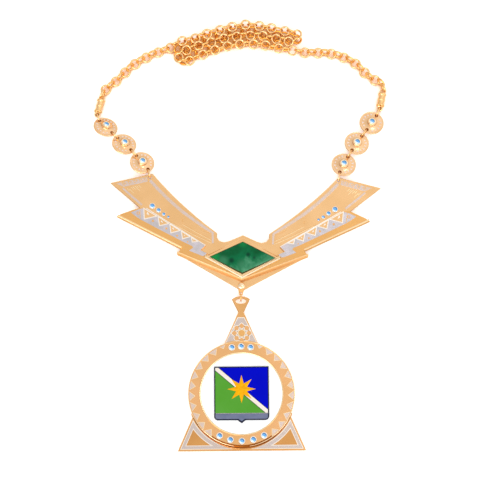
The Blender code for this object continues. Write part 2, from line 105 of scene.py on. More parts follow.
def copyTo(piece, matrix):
    made = piece.copy()
    made.data = piece.data.copy()
    bpy.context.collection.objects.link(made)
    return place(made, matrix)


def joined(name, pieces):
    pickUp(*pieces)
    if len(pieces) > 1:
        bpy.ops.object.join()
    return named(name)


def changed(piece, kind, **values):
    # a modifier with its values, applied at once
    step = piece.modifiers.new("step", kind)
    for name, value in values.items():
        setattr(step, name, value)
    pickUp(piece)
    bpy.ops.object.modifier_apply(modifier="step")
    return piece


def softened(piece, width, segments=1):
    return changed(piece, "BEVEL", width=width, segments=segments, limit_method="ANGLE",
                   angle_limit=math.radians(35))


def smoothed(piece, angle):
    pickUp(piece)
    bpy.ops.object.shade_smooth_by_angle(angle=math.radians(angle))
    return piece


def drilled(piece, spot, radius, depth, sides=24):
    bpy.ops.mesh.primitive_cylinder_add(vertices=sides, radius=radius, depth=depth)
    hole = place(named("hole"), moved(*spot))
    changed(piece, "BOOLEAN", object=hole, operation="DIFFERENCE", solver="EXACT")
    bpy.data.objects.remove(hole)
    return piece


def drawnOut(name, corners, reach):
    # a filled circle with a point for each corner, drawn out
    bpy.ops.mesh.primitive_circle_add(vertices=len(corners), radius=1, fill_type="NGON")
    piece = named(name)
    for point, corner in zip(piece.data.vertices, corners):
        point.co = corner
    startEdit()
    drawOut(reach)
    closeEdit()
    return piece


def plateFrom(name, outline, low, high):
    return drawnOut(name, [(x, y, low) for x, y in outline], (0, 0, high - low))


def turnedUp(name, profile, sides):
    # a filled circle drawn up and resized step by step
    radius, height = profile[0]
    bpy.ops.mesh.primitive_circle_add(vertices=sides, radius=radius, fill_type="NGON")
    piece = place(named(name), moved(0, 0, height))
    startEdit()
    for nextRadius, nextHeight in profile[1:]:
        drawOut((0, 0, nextHeight - height))
        share = nextRadius / radius
        bpy.ops.transform.resize(value=(share, share, 1), center_override=(0, 0, nextHeight))
        radius, height = nextRadius, nextHeight
    closeEdit()
    return piece


def hoopFrom(name, section, steps, smooth, sweep=360):
    # a closed section of (radius, height) points, spun round the upright axis
    bpy.ops.mesh.primitive_circle_add(vertices=len(section), radius=1, fill_type="NOTHING")
    piece = named(name)
    for corner, (radius, height) in zip(piece.data.vertices, section):
        corner.co = (radius, 0, height)
    startEdit()
    bpy.ops.mesh.spin(steps=steps, angle=math.radians(sweep), center=(0, 0, 0), axis=(0, 0, 1))
    if sweep < 360:
        bpy.ops.mesh.select_all(action="SELECT")
        bpy.ops.mesh.fill_holes(sides=0)
    closeEdit()
    return smoothed(piece, smooth)


def wireRing(name, size):
    bpy.ops.mesh.primitive_torus_add(major_radius=size["radius"], minor_radius=size["wire"] / 2,
                                     major_segments=size["steps"], minor_segments=size["wireSteps"])
    return smoothed(named(name), 80)


def shrunk(outline, inset):
    # a clockwise outline with each side moved inward, or outward below nought
    points = [Vector(point) for point in outline]
    result = []
    for before, here, after in zip(points[-1:] + points[:-1], points, points[1:] + points[:1]):
        first, second = ((a - b).normalized().orthogonal() for a, b in ((before, here), (here, after)))
        middle = (first + second).normalized()
        result.append(tuple(here + middle * (inset / max(middle.dot(first), 0.25))))
    return result


def ribbon(path):
    # the outline of a strip along (x, y, width) rows
    left, right = [], []
    points = [Vector((x, y)) for x, y, width in path]
    for before, here, after, row in zip(points[:1] + points, points, points[1:] + points[-1:], path):
        into, out = here - before, after - here
        into = into.normalized() if into.length else out.normalized()
        out = out.normalized() if out.length else into
        along = (into + out).normalized()
        side = along.orthogonal() * (row[2] / 2 / max(along.dot(into), 0.3))
        left.append(tuple(here + side))
        right.append(tuple(here - side))
    return left + right[::-1]


def mirrored(outline):
    return [(-x, y) for x, y in outline]


def bothSides(outlines):
    return [side for outline in outlines for side in (outline, mirrored(outline))]


def arcPoints(radius, start, end, steps):
    turns = [math.radians(start + (end - start) * step / steps) for step in range(steps + 1)]
    return [(radius * math.cos(turn), radius * math.sin(turn)) for turn in turns]


def spoke(radius, degrees):
    return arcPoints(radius, degrees, degrees, 1)[0]


def roundOutline(x, y, radius, sides):
    return [(x + across, y + up) for across, up in arcPoints(radius, 0, 360, sides)[:-1]]


# ---- finishes ----

def fillSockets(tree, inputs, sockets):
    # each socket gets a value, a colour or a feed
    for socket, given in sockets.items():
        if isinstance(given, bpy.types.NodeSocket):
            tree.links.new(given, inputs[socket])
        elif inputs[socket].type == "RGBA":
            inputs[socket].default_value = (*given, 1)
        else:
            inputs[socket].default_value = given


def addNode(tree, kind, sockets={}, **settings):
    node = tree.nodes.new("ShaderNode" + kind)
    for name, value in settings.items():
        setattr(node, name, value)
    fillSockets(tree, node.inputs, sockets)
    return node.outputs


def noise(tree, where, scale, detail, roughness=0.5, distortion=0.0):
    sockets = {"Vector": where, "Scale": scale, "Detail": detail, "Roughness": roughness, "Distortion": distortion}
    return addNode(tree, "TexNoise", sockets)["Fac"]


def ranged(tree, value, fromLow, fromHigh, toLow=0.0, toHigh=1.0, manner="LINEAR"):
    sockets = {"Value": value, "From Min": fromLow, "From Max": fromHigh, "To Min": toLow, "To Max": toHigh}
    return addNode(tree, "MapRange", sockets, interpolation_type=manner)["Result"]


def reckoned(tree, operation, *values):
    return addNode(tree, "Math", dict(enumerate(values)), operation=operation)["Value"]


def blended(tree, share, near, far):
    return addNode(tree, "Mix", {"Factor": share, "A": near, "B": far}, data_type="RGBA")["Result"]


def ramped(tree, value, *stops):
    # stops of (position, colour): the first, the last, then those between
    ramp = tree.nodes.new("ShaderNodeValToRGB")
    elements = ramp.color_ramp.elements
    for number, (position, tone) in enumerate(stops):
        element = elements[number] if number < 2 else elements.new(position)
        element.position = position
        element.color = (*tone, 1)
    fillSockets(tree, ramp.inputs, {"Fac": value})
    return ramp.outputs["Color"]


def newGroup(name, given, results):
    group = bpy.data.node_groups.new(name, "ShaderNodeTree")
    for way, sockets in (("INPUT", given), ("OUTPUT", results)):
        for socket in sockets:
            kind = "Color" if socket in ("Color", "Tone", "Shade") else "Float"
            group.interface.new_socket(socket, in_out=way, socket_type="NodeSocket" + kind)
    where = addNode(group, "TexCoord")["Object"]
    return group, where, group.nodes.new("NodeGroupInput").outputs, group.nodes.new("NodeGroupOutput").inputs


def metalSurfaceGroup():
    # slow changes of tone, polishing marks and small dull spots
    inputs, outputs = ("Tone", "Shade", "Gloss", "Patches"), ("Color", "Roughness", "Height")
    group, where, given, results = newGroup("metalSurface", inputs, outputs)
    slow = noise(group, where, given["Patches"], 2)
    fine = noise(group, where, 900, 4, 0.65)
    stretch = addNode(group, "Mapping", {"Vector": where, "Rotation": (0, 0, 0.6), "Scale": (1, 7, 1)})["Vector"]
    brushed = noise(group, stretch, 500, 3, 0.6)
    fillSockets(group, results, {
        "Color": blended(group, ranged(group, slow, 0.35, 0.65), given["Tone"], given["Shade"]),
        "Roughness": reckoned(group, "MULTIPLY_ADD", fine, 0.12, given["Gloss"]),
        "Height": reckoned(group, "MULTIPLY_ADD", fine, 0.25, brushed),
    })
    return group


def enamelSurfaceGroup():
    # poured enamel: faint clouds of tone and a barely uneven skin
    group, where, given, results = newGroup("enamelSurface", ("Tone", "Shade", "Clouds"), ("Color", "Height"))
    clouds = noise(group, where, given["Clouds"], 3, 0.55)
    fillSockets(group, results, {
        "Color": blended(group, ranged(group, clouds, 0.3, 0.7), given["Tone"], given["Shade"]),
        "Height": noise(group, where, 260, 1),
    })
    return group


metalSurface, enamelSurface = metalSurfaceGroup(), enamelSurfaceGroup()


def newMaterial(name):
    made = bpy.data.materials.new(name)
    made.use_nodes = True
    return made, made.node_tree, made.node_tree.nodes["Principled BSDF"].inputs


def surfaced(name, surface, looks, relief, constants):
    # a material on a surface group
    made, tree, shader = newMaterial(name)
    results = addNode(tree, "Group", looks, node_tree=surface)
    bump = addNode(tree, "Bump", {"Height": results["Height"], "Strength": relief, "Distance": 0.001})
    fillSockets(tree, shader, {"Base Color": results["Color"], "Normal": bump["Normal"]} | constants)
    if "Roughness" in results:
        fillSockets(tree, shader, {"Roughness": results["Roughness"]})
    return made


def metalMaterial(name, tone, shade, gloss, patches=60):
    looks = {"Tone": tone, "Shade": shade, "Gloss": gloss, "Patches": patches}
    return surfaced(name, metalSurface, looks, 0.02, {"Metallic": 1})


def enamelMaterial(name, tone, shade, clouds=90, roughness=0.25, shine=0.3, coat=0.0):
    looks = {"Tone": tone, "Shade": shade, "Clouds": clouds}
    skin = {"Roughness": roughness, "Specular IOR Level": shine, "IOR": 1.5, "Coat Weight": coat}
    return surfaced(name, enamelSurface, looks, 0.01, skin)


# tone, shade, gloss and, if smaller than usual, patches
finishes = {
    "gold": ((0.91, 0.555, 0.265), (0.85, 0.505, 0.225), 0.12),
    "frontGold": ((0.86, 0.46, 0.155), (0.82, 0.44, 0.15), 0.12),
    "badgeGold": ((0.84, 0.46, 0.185), (0.76, 0.4, 0.145), 0.11),
    "cornerGold": ((0.715, 0.355, 0.112), (0.66, 0.31, 0.095), 0.12),
    "ringGold": ((0.86, 0.465, 0.205), (0.8, 0.44, 0.18), 0.14),
    "discGold": ((0.92, 0.6, 0.345), (0.86, 0.53, 0.27), 0.17, 260),
    "wireGold": ((0.95, 0.625, 0.31), (0.91, 0.57, 0.25), 0.07, 150),
    "shadedWireGold": ((0.92, 0.54, 0.2), (0.87, 0.48, 0.155), 0.1, 150),
    "deepShadeGold": ((0.88, 0.4, 0.075), (0.82, 0.34, 0.05), 0.12),
    "railHighlightGold": ((0.98, 0.68, 0.385), (0.95, 0.63, 0.33), 0.26),
    "crestHighlightGold": ((0.95, 0.65, 0.375), (0.92, 0.6, 0.32), 0.46),
    "slopeGold": ((0.82, 0.49, 0.205), (0.76, 0.43, 0.165), 0.6),
    "edgeShadeGold": ((0.62, 0.35, 0.14), (0.56, 0.3, 0.11), 0.42),
    "paintedShadeGold": ((0.3, 0.082, 0.009), (0.25, 0.062, 0.006), 0.2),
    "paleGold": ((0.98, 0.8, 0.5), (0.96, 0.74, 0.44), 0.12),
    "beadGold": ((0.98, 0.74, 0.48), (0.94, 0.68, 0.4), 0.05),
    "bezelLight": ((1, 0.9, 0.67), (0.99, 0.86, 0.61), 0.22),
    "discInlay": ((0.9, 0.74, 0.66), (0.84, 0.66, 0.57), 0.2),
    "brightLine": ((0.99, 0.9, 0.8), (0.96, 0.86, 0.74), 0.14),
    "silver": ((0.66, 0.6, 0.64), (0.56, 0.52, 0.52), 0.2, 200),
    "warmSilver": ((0.62, 0.53, 0.5), (0.64, 0.52, 0.45), 0.2, 420),
    "blushSilver": ((0.72, 0.59, 0.54), (0.76, 0.56, 0.42), 0.2, 500),
    "setting": ((0.99, 0.93, 0.84), (0.97, 0.86, 0.72), 0.06, 300),
}
# tone, shade, clouds, roughness, shine and coat
enamels = {
    "whiteEnamel": ((0.93, 0.93, 0.93), (0.89, 0.89, 0.9), 40, 0.25, 0.3, 0.4),
    "greenEnamel": ((0.068, 0.27, 0.022), (0.08, 0.285, 0.034), 90, 0.35, 0.06),
    "blueEnamel": ((0, 0.002, 0.46), (0, 0.002, 0.41), 90, 0.35, 0.03),
    "greyEnamel": ((0.145, 0.16, 0.25), (0.11, 0.13, 0.21), 260, 0.25, 0.15),
    "darkEnamel": ((0.004, 0.006, 0.022), (0.007, 0.01, 0.03), 90, 0.35, 0.1),
    "shadowBed": ((0.07, 0.05, 0.006), (0.045, 0.036, 0.005), 90, 0.6, 0.1),
    "yellowEnamel": ((0.84, 0.4, 0.002), (0.66, 0.29, 0.002), 500, 0.35, 0.06),
}
slotOf = {
    "gold_plate": ["yellowEnamel"],
    "silver_inlay": ["silver", "warmSilver", "blushSilver", "brightLine", "discInlay", "setting"],
    "white_enamel": ["whiteEnamel"],
    "blue_enamel": ["greenEnamel", "blueEnamel", "greyEnamel", "darkEnamel"],
    "green_stone": ["shadowBed"],
    "blue_stone": ["blueStone"],
}
slots = dict.fromkeys(finishes, "gold_plate") | {finish: slot for slot, names in slotOf.items() for finish in names}


def greenStoneMaterial():
    # light veins, a light foot and a few darker flecks
    look = {"dark": (0.0004, 0.072, 0.02), "middle": (0.0012, 0.122, 0.042), "light": (0.105, 0.33, 0.19),
            "fleck": (0.0004, 0.04, 0.018), "bright": (0.004, 0.215, 0.045), "height": 0.0064,
            # soft spots: place, reach, tone and how strongly it shows
            "spots": [(-0.0068, -0.0022, 0.0027, "fleck", 1), (0.0034, 0.0016, 0.0021, "fleck", 1),
                      (0.0072, -0.0004, 0.0014, "fleck", 0.8), (0.0006, -0.0056, 0.006, "light", 0.28),
                      (0.0095, -0.003, 0.005, "light", 0.12), (-0.0118, -0.0022, 0.0046, "light", 0.24),
                      (-0.0172, 0.0004, 0.0045, "bright", 0.75), (0.0005, 0.0085, 0.004, "bright", 0.45)]}
    made, tree, shader = newMaterial("greenStone")
    where = addNode(tree, "TexCoord")["Object"]
    clouds = noise(tree, where, 75, 4, 0.5, 0.4)
    grain = noise(tree, where, 420, 3, 0.6)
    foot = reckoned(tree, "MULTIPLY_ADD", addNode(tree, "SeparateXYZ", {"Vector": where})["Y"], -16, clouds)
    share = reckoned(tree, "MULTIPLY_ADD", grain, 0.18, foot)
    color = ramped(tree, share, (0.4, look["dark"]), (0.86, look["light"]), (0.6, look["middle"]))
    for x, y, reach, tone, strength in look["spots"]:
        away = addNode(tree, "VectorMath", {0: where, 1: (x, y, look["height"])}, operation="DISTANCE")["Value"]
        share = ranged(tree, away, reach * 0.15, reach, strength, 0, "SMOOTHSTEP")
        color = blended(tree, share, color, look[tone])
    fillSockets(tree, shader, {"Base Color": color, "Roughness": 0.15, "Specular IOR Level": 0.1})
    return made


def blueStoneMaterial():
    # each facet has its own painted light: near white in front on the left as a painted highlight, deep blue at the
    # back as painted shade
    deep, sky, glintWhite = (0.01, 0.13, 0.4), (0.07, 0.33, 0.68), (0.78, 0.9, 1)
    made, tree, shader = newMaterial("blueStone")
    inside = noise(tree, addNode(tree, "TexCoord")["Object"], 1400, 2)
    stirred = reckoned(tree, "MULTIPLY_ADD", inside, 0.3, addNode(tree, "Attribute", attribute_name="facetGlint")["Fac"])
    color = ramped(tree, reckoned(tree, "SUBTRACT", stirred, 0.15), (0, deep), (1, glintWhite), (0.45, sky))
    fillSockets(tree, shader, {"Base Color": color, "Roughness": 0.05, "IOR": 1.75})
    return made


materials = {name: metalMaterial(name, *look) for name, look in finishes.items()}
materials |= {name: enamelMaterial(name, *look) for name, look in enamels.items()}
materials |= {"greenStone": greenStoneMaterial(), "blueStone": blueStoneMaterial()}
print("finishes ready:", len(bpy.data.materials), "materials")


def finished(piece, finish, seat, *standsFor):
    place(piece, seat)
    piece.data.materials.clear()
    piece.data.materials.append(materials[finish])
    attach(piece, "root")
    if standsFor:
        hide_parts(*standsFor)


def dress(seat, face, *rows):
    # plates on a face, for the breast on both sides: name, finish, outlines, rise and any soft edge
    for name, finish, outlines, rise, *edge in rows:
        outlines = bothSides(outlines) if seat is breastFrame else outlines
        whole = joined(name, [plateFrom(name, outline, face - 0.02, face + rise) for outline in outlines])
        finished(softened(whole, *edge) if edge else whole, finish, seat)


def railPair(name, finish, section, start, end, mitred=False):
    # a rail with a section of (inward, height) rows and its mirror; a mitred one starts on the middle line
    run = Vector((end[0] - start[0], end[1] - start[1], 0))
    side = Vector((0, run.length / run.x, 0)) if mitred else Vector((-run.y, run.x, 0)).normalized()
    rail = drawnOut(name, [Vector((*start, height)) + side * inward for inward, height in section], run)
    other = copyTo(rail, sized(-1, 1, 1))
    pickUp(other)
    startEdit()
    closeEdit()
    finished(joined(name, [rail, other]), finish, breastFrame)


# solids that are shown as they are
carried = {"breast_base": "gold", "stone_bezel": "gold", "front_plate": "frontGold", "badge_plate": "badgeGold",
           "centre_stone": "greenStone", "shield": "darkEnamel"}
for name, finish in carried.items():
    if not nodes[name].material_slots:
        nodes[name].data.materials.append(materials[finish])
    for held in nodes[name].material_slots:
        held.material = materials[finish]


# ---- small stones in their settings ----

# a stone of diameter one, with radius and rise of its girdle and crown
stoneLook = {"sides": 8, "girdle": (0.44, 0.13), "crown": [(0.37, 0.07), (0.24, 0.08)],
             "collar": [(0.58, -0.02), (0.58, 0.13), (0.55, 0.17), (0.43, 0.17), (0.41, 0.13), (0.41, -0.02)],
             "grain": 0.075, "claws": (0.44, 0.16), "leastHeight": 3.4,
             # the painted highlight share of flat facets, then the others' middle and change along x and y
             "facetGlint": (0.46, 0.42, -0.3, -0.42)}


def stonePattern():
    # a low girdle, crown facets turned half a step, and a table
    radius, height = stoneLook["girdle"]
    bpy.ops.mesh.primitive_circle_add(vertices=stoneLook["sides"], radius=radius, fill_type="NGON")
    piece = named("stonePattern")
    startEdit()
    drawOut((0, 0, height))
    for nextRadius, rise in stoneLook["crown"]:
        drawOut((0, 0, rise))
        height += rise
        share, middle = nextRadius / radius, (0, 0, height)
        bpy.ops.transform.resize(value=(share, share, 1), center_override=middle)
        bpy.ops.transform.rotate(value=math.pi / stoneLook["sides"], orient_axis="Z", center_override=middle)
        radius = nextRadius
    bpy.ops.mesh.select_all(action="SELECT")
    bpy.ops.mesh.convex_hull()
    closeEdit()
    # painted highlight: high in front on the left, low at the back, between on the table
    flat, middle, alongX, alongY = stoneLook["facetGlint"]
    facetGlint = piece.data.color_attributes.new("facetGlint", "FLOAT_COLOR", "CORNER")
    for face in piece.data.polygons:
        out = Vector((face.normal.x, face.normal.y))
        share = flat
        if out.length > 0.15:
            out.normalize()
            share = min(max(middle + alongX * out.x + alongY * out.y, 0), 1)
        for corner in face.loop_indices:
            facetGlint.data[corner].color = (share, share, share, 1)
    return piece


def grainPattern():
    bpy.ops.mesh.primitive_ico_sphere_add(subdivisions=2, radius=stoneLook["grain"])
    return smoothed(named("grainPattern"), 60)


stoneShape, collarShape = stonePattern(), hoopFrom("collarPattern", stoneLook["collar"], 24, 30)
grainShape = grainPattern()


def setStones(name, rows, collar=1.0, finish="setting"):
    # rows of (matrix to the seat, diameter); the stones all face one way
    stones, settings = [], []
    clawsAt, clawHeight = stoneLook["claws"]
    for seat, size in rows:
        grown = seat @ sized(size, size, max(size, stoneLook["leastHeight"]))
        stones.append(copyTo(stoneShape, grown @ facing(seat.col[0]).inverted()))
        settings.append(copyTo(collarShape, seat @ sized(size * collar, size * collar, size)))
        settings += [copyTo(grainShape, grown @ moved(x, y, clawHeight)) for x, y in arcPoints(clawsAt, 45, 315, 3)]
    finished(joined(name + "Stones", stones), "blueStone", asPlaced)
    finished(joined(name + "Settings", settings), finish, asPlaced)


# ---- breast plate: wings ----

wing = {
    "top": 3,
    "strips": [[(58.9, 49.3, 1.8), (53.8, 43.7, 2), (46.9, 37, 2), (38.3, 29.5, 2), (30.4, 23.8, 1.9),
                (23.3, 18.9, 1.7), (18.9, 16, 1.4), (18.6, 9.3, 1.2)],
               [(75.8, 43.9, 1.2), (69.3, 38.1, 1.4), (63.4, 33.1, 1.4)]],
    "topBand": [(80, 46.9), (60.9, 51.5), (60.3, 48.5), (75.4, 44.7)],
    # gold triangles with silver dots: place, half width and half height
    "triangles": [(75.2, 46.5, 1.5, 1.1), (71.7, 47.4, 1.5, 1.15), (68.2, 48.3, 1.5, 1.15), (64.8, 49.1, 1.4, 1.1),
                  (62.1, 49.9, 1, 0.9)],
    # engraved lines, the first two with a painted highlight beside them
    "lines": [[(45.1, 22.4), (30.5, 14.8), (19.6, 9.7)], [(37.9, 21.4), (27.5, 15.6), (20, 11.6)],
              [(26.5, 18.7), (24.4, 17), (20.6, 15.8)], [(38.6, 24.8), (37.6, 23.9), (37.9, 22.6)]],
    # short strokes: where each starts, and its reach
    "hatch": [(74.4, 43.2, 3), (73, 43.7, 2.2), (71.6, 43.4, 4), (70.6, 44.6, 2), (69.6, 45, 2.9),
              (68.4, 45.5, 4.6), (67.2, 45.6, 1.8), (66, 46, 2.4)],
    "stones": [(56.9, 32.5, 3.7), (52.9, 29.8, 3), (49.6, 27.4, 2.3), (46.7, 25.6, 1.8)],
    "stoneGrowth": 1.06,
}
strips = [ribbon(strip) for strip in wing["strips"]] + [wing["topBand"]]
triangles = [[(x - wide, y + tall * 0.7), (x + wide, y + tall * 1.3), (x + 0.2, y - tall)]
             for x, y, wide, tall in wing["triangles"]]
dots = [roundOutline(x, y + 0.2, tall * 0.42, 10) for x, y, wide, tall in wing["triangles"]]
engraved = [ribbon([(x, y, 0.36) for x, y in line]) for line in wing["lines"]]
lit = [ribbon([(x - 0.2, y - 0.45, 0.3) for x, y in line]) for line in wing["lines"][:2]]
strokes = [ribbon([(x, y, 0.32), (x - 0.73 * reach, y - 0.68 * reach, 0.2)]) for x, y, reach in wing["hatch"]]
dress(breastFrame, wing["top"],
      ("wingSilver", "blushSilver", strips, 0.1, 0.03),
      ("wingTopTriangles", "gold", triangles, 0.14),
      ("wingTopDots", "silver", dots, 0.18),
      ("wingPanelLines", "slopeGold", engraved, 0.05),
      ("wingPanelLights", "paleGold", lit, 0.06),
      ("wingHatch", "paleGold", strokes, 0.06))
setStones("wing", [(breastFrame @ moved(side * x, y, wing["top"]), size * wing["stoneGrowth"])
                   for side in (1, -1) for x, y, size in wing["stones"]], 0.84)
print("wings dressed")


# ---- breast plate: ornament band and feather bars ----

band = {
    "top": 4.2,
    "ground": [(60.7, 30.3), (23.3, 7.3), (26.2, 4.4), (22.1, 2.5), (24, 0.7), (25.4, 0.9), (33.1, 4),
               (30.6, 5.9), (31.3, 7), (35.6, 8.9), (50.2, 16.3), (63.8, 23.4), (66.5, 25.1), (70, 27.8),
               (65, 30.1), (62.6, 30.6)],
    # gold triangles that hang from the upper line
    "triangles": [[(62.2, 30.9), (61.6, 23.6), (53.5, 25.7)], [(53.1, 25.7), (52, 19.4), (46, 21.1)],
                  [(45.7, 21.1), (44.8, 15), (38.8, 16.7)], [(38.5, 16.6), (37.5, 11.3), (32.5, 12.9)],
                  [(32.2, 12.7), (31.4, 9.4), (27.4, 9.9)]],
    "figures": [(59.3, 27.3, 0.85, 1.35), (50.5, 22.3, 0.75, 0.95), (43.3, 17.9, 0.65, 0.8),
                (36.2, 13.6, 0.5, 0.55), (30.5, 10.8, 0.35, 0.35)],
    "dots": [(56.1, 22.6, 0.75), (47.6, 17.9, 0.7), (40.8, 13.4, 0.6), (34.2, 9.6, 0.45), (65.5, 27.5, 1.05)],
    "outerDot": (65.5, 27.5, 0.5),
    "outerLine": [(64.5, 30, 0.45), (64, 24.2, 0.45)],
    "edge": [(-0.26, 4.1), (-0.24, 4.4), (-0.08, 4.48), (0.22, 4.36), (0.24, 4.1)],
    "edgeEnds": [(60.6, 30.75), (23.1, 7.5)],
}
figures = [[(x - wide, y - tall), (x + wide, y - tall * 0.2), (x + wide * 0.3, y + tall)]
           for x, y, wide, tall in band["figures"]]
dress(breastFrame, band["top"],
      ("bandSilver", "silver", [band["ground"]], 0.1),
      ("bandTriangleRims", "brightLine", [shrunk(corners, -0.18) for corners in band["triangles"]], 0.14),
      ("bandTriangles", "gold", [shrunk(corners, 0.4) for corners in band["triangles"]], 0.18),
      ("bandFigures", "brightLine", figures, 0.23),
      ("bandDots", "slopeGold", [roundOutline(*dot, 12) for dot in band["dots"]], 0.16),
      ("bandOuterDots", "silver", [roundOutline(*band["outerDot"], 12)], 0.2),
      ("bandOuterLine", "gold", [ribbon(band["outerLine"])], 0.15))
# the band's upper edge: a bright rail that is a painted highlight
railPair("bandEdge", "brightLine", band["edge"], *band["edgeEnds"])

# bright crests inside in a lighter gold as a painted highlight, deep slopes outside in a darker gold as painted
# shade; the chevron's slope goes down to the kite
rails = {
    "featherEnds": [(38.3, 4.9), (78.5, 24.8)],
    "featherSlope": [(-0.2, 3.6), (-0.2, 4.74), (-0.12, 4.82), (0.55, 5.07), (0.55, 3.6)],
    "featherCrest": [(0.5, 3.6), (0.5, 5.06), (0.8, 5.2), (1.25, 5.16), (1.6, 4.95), (1.6, 3.6)],
    "chevronEnds": [(0, -14), (40.4, 2.25)],
    "chevronSlope": [(-0.75, 1.85), (-0.45, 3.3), (-0.2, 4.74), (-0.1, 4.84), (0.4, 5.04), (0.4, 3.6), (0.2, 1.85)],
    "chevronCrest": [(0.35, 3.6), (0.35, 5.02), (0.45, 5.1), (0.72, 5.08), (0.93, 4.94), (0.93, 3.6)],
}
railPair("featherSlopes", "edgeShadeGold", rails["featherSlope"], *rails["featherEnds"])
railPair("featherRails", "railHighlightGold", rails["featherCrest"], *rails["featherEnds"])
railPair("chevronSlope", "slopeGold", rails["chevronSlope"], *rails["chevronEnds"], mitred=True)
railPair("chevronRail", "crestHighlightGold", rails["chevronCrest"], *rails["chevronEnds"], mitred=True)
print("front plate dressed")


# ---- bezel: a ribbed strip, a bright line on the lower sides as a painted highlight, and a dark bed round the stone as a painted shadow ----

bezel = {
    "half": (23.6, 12.7), "top": 5.6, "ribs": 31, "from": 0.03, "to": 0.985, "ribWide": 0.4, "ribLong": 1.1,
    "ribAt": 0.5, "groove": (0.42, 1.62),
    "line": [(-0.5, 4.3), (-0.45, 5.3), (-0.25, 5.66), (0.05, 5.77), (0.32, 5.72), (0.42, 5.5), (0.42, 5)],
    "lineEnd": (23.2, -0.22), "bed": [(21.15, -0.4), (0, 9.9), (-21.15, -0.4), (0, -10.67)],
    "bedHeights": (4.95, 5.68),
}
foot, corner = Vector((0, -bezel["half"][1])), Vector((bezel["half"][0], 0))
run = (corner - foot).normalized()
inward = run.orthogonal()
wide, deep = run * bezel["ribWide"] / 2, inward * bezel["ribLong"] / 2
ribs = []
for number in range(bezel["ribs"]):
    share = bezel["from"] + (bezel["to"] - bezel["from"]) * number / (bezel["ribs"] - 1)
    middle = foot.lerp(corner, share) + inward * bezel["ribAt"] + deep
    ribs.append([tuple(middle + reach) for reach in (-wide - deep, wide - deep, wide + deep, deep - wide)])
near, far = bezel["groove"]
groove = [(0, foot.y + near / run.x), tuple(corner + inward * near - run * 0.6),
          tuple(corner + inward * far - run * 1.2), (0, foot.y + far / run.x)]
dress(breastFrame, bezel["top"],
      ("bezelGroove", "gold", [groove], 0.03), ("bezelRibs", "paleGold", ribs, 0.16))
# the bezel line's pale gold is a painted highlight
railPair("bezelLine", "bezelLight", bezel["line"], tuple(foot), bezel["lineEnd"], mitred=True)
# the dark bed is a painted shadow round the stone
finished(plateFrom("stoneShadowBed", bezel["bed"], *bezel["bedHeights"]), "shadowBed", breastFrame)
print("bezel ribbed")


# ---- badge: head, rosette and corner triangles ----

badge = {
    "top": 2.5,
    # half width and height of the triangle at its tip and foot
    "tip": (1.7, 50.75), "foot": (38.5, -34.3),
    "headTop": 47, "headCorner": 30.8, "headFoot": 33.1,
    # a petal's side in rows of (outward, sideways), and the points, long and short in turn
    "rosette": (0.35, 37.6), "petal": [(3.2, 1.15), (4.1, 1.85), (5, 1.75), (5.8, 1)],
    "petalFoot": 2.45, "petalPoints": (6.6, 6.2),
    # name, finish, inset, radius of the hollow side and rise
    "corners": [("cornerRims", "brightLine", 1, 33.2, 0.05), ("cornerSilver", "warmSilver", 1.35, 33.6, 0.08),
                ("cornerInnerRims", "brightLine", 3, 35.7, 0.11), ("cornerGold", "cornerGold", 3.35, 36.1, 0.15)],
}


def sideAt(y, inset):
    # half width of the triangle at a height, less a margin
    (tipHalf, tipY), (footHalf, footY) = badge["tip"], badge["foot"]
    lean = (footHalf - tipHalf) / (tipY - footY)
    return tipHalf + (tipY - y) * lean - inset * math.sqrt(1 + lean * lean)


def headOutline(inset, top):
    start = math.degrees(math.atan2(badge["headCorner"], sideAt(badge["headCorner"], inset)))
    half = sideAt(top, inset)
    return [(-half, top), (half, top)] + arcPoints(badge["headFoot"], start, 180 - start, 8)


def petalOutline(number):
    out = Vector(spoke(1, 90 + number * 45))
    rows = [(badge["petalFoot"], 0), *badge["petal"], (badge["petalPoints"][number % 2], 0)]
    rows += [(along, -across) for along, across in reversed(badge["petal"])]
    return [tuple(Vector(badge["rosette"]) + out * along + out.orthogonal() * across) for along, across in rows]


def cornerOutline(inset, radius):
    # a triangle with two straight sides and a hollow one round the ring
    base = badge["foot"][1] + inset
    lowX = math.sqrt(max(radius**2 - base**2, 0))
    lowTurn = math.degrees(math.atan2(base, lowX))
    y = -14.0
    while math.hypot(sideAt(y, inset), y) < radius and y > -30:
        y -= 0.05
    highTurn = math.degrees(math.atan2(y, sideAt(y, inset)))
    return [(sideAt(base, inset), base)] + arcPoints(radius, highTurn, lowTurn, 10)


petals = [petalOutline(number) for number in range(8)]
dress(badgeFrame, badge["top"],
      ("headRim", "brightLine", [headOutline(0.95, badge["headTop"] + 0.5)], 0.05),
      ("headSilver", "warmSilver", [headOutline(1.35, badge["headTop"])], 0.08, 0.02),
      ("petalRims", "brightLine", [shrunk(petal, -0.08) for petal in petals], 0.12),
      ("petals", "ringGold", [shrunk(petal, 0.3) for petal in petals], 0.16),
      ("rosetteRim", "paleGold", [roundOutline(*badge["rosette"], 2.4, 24)], 0.2, 0.03),
      ("rosetteCore", "frontGold", [roundOutline(*badge["rosette"], 1.9, 24)], 0.34, 0.12),
      *[(name, finish, bothSides([cornerOutline(inset, radius)]), rise)
        for name, finish, inset, radius, rise in badge["corners"]])
print("badge dressed")


# ---- badge: ring, enamel and shield ----

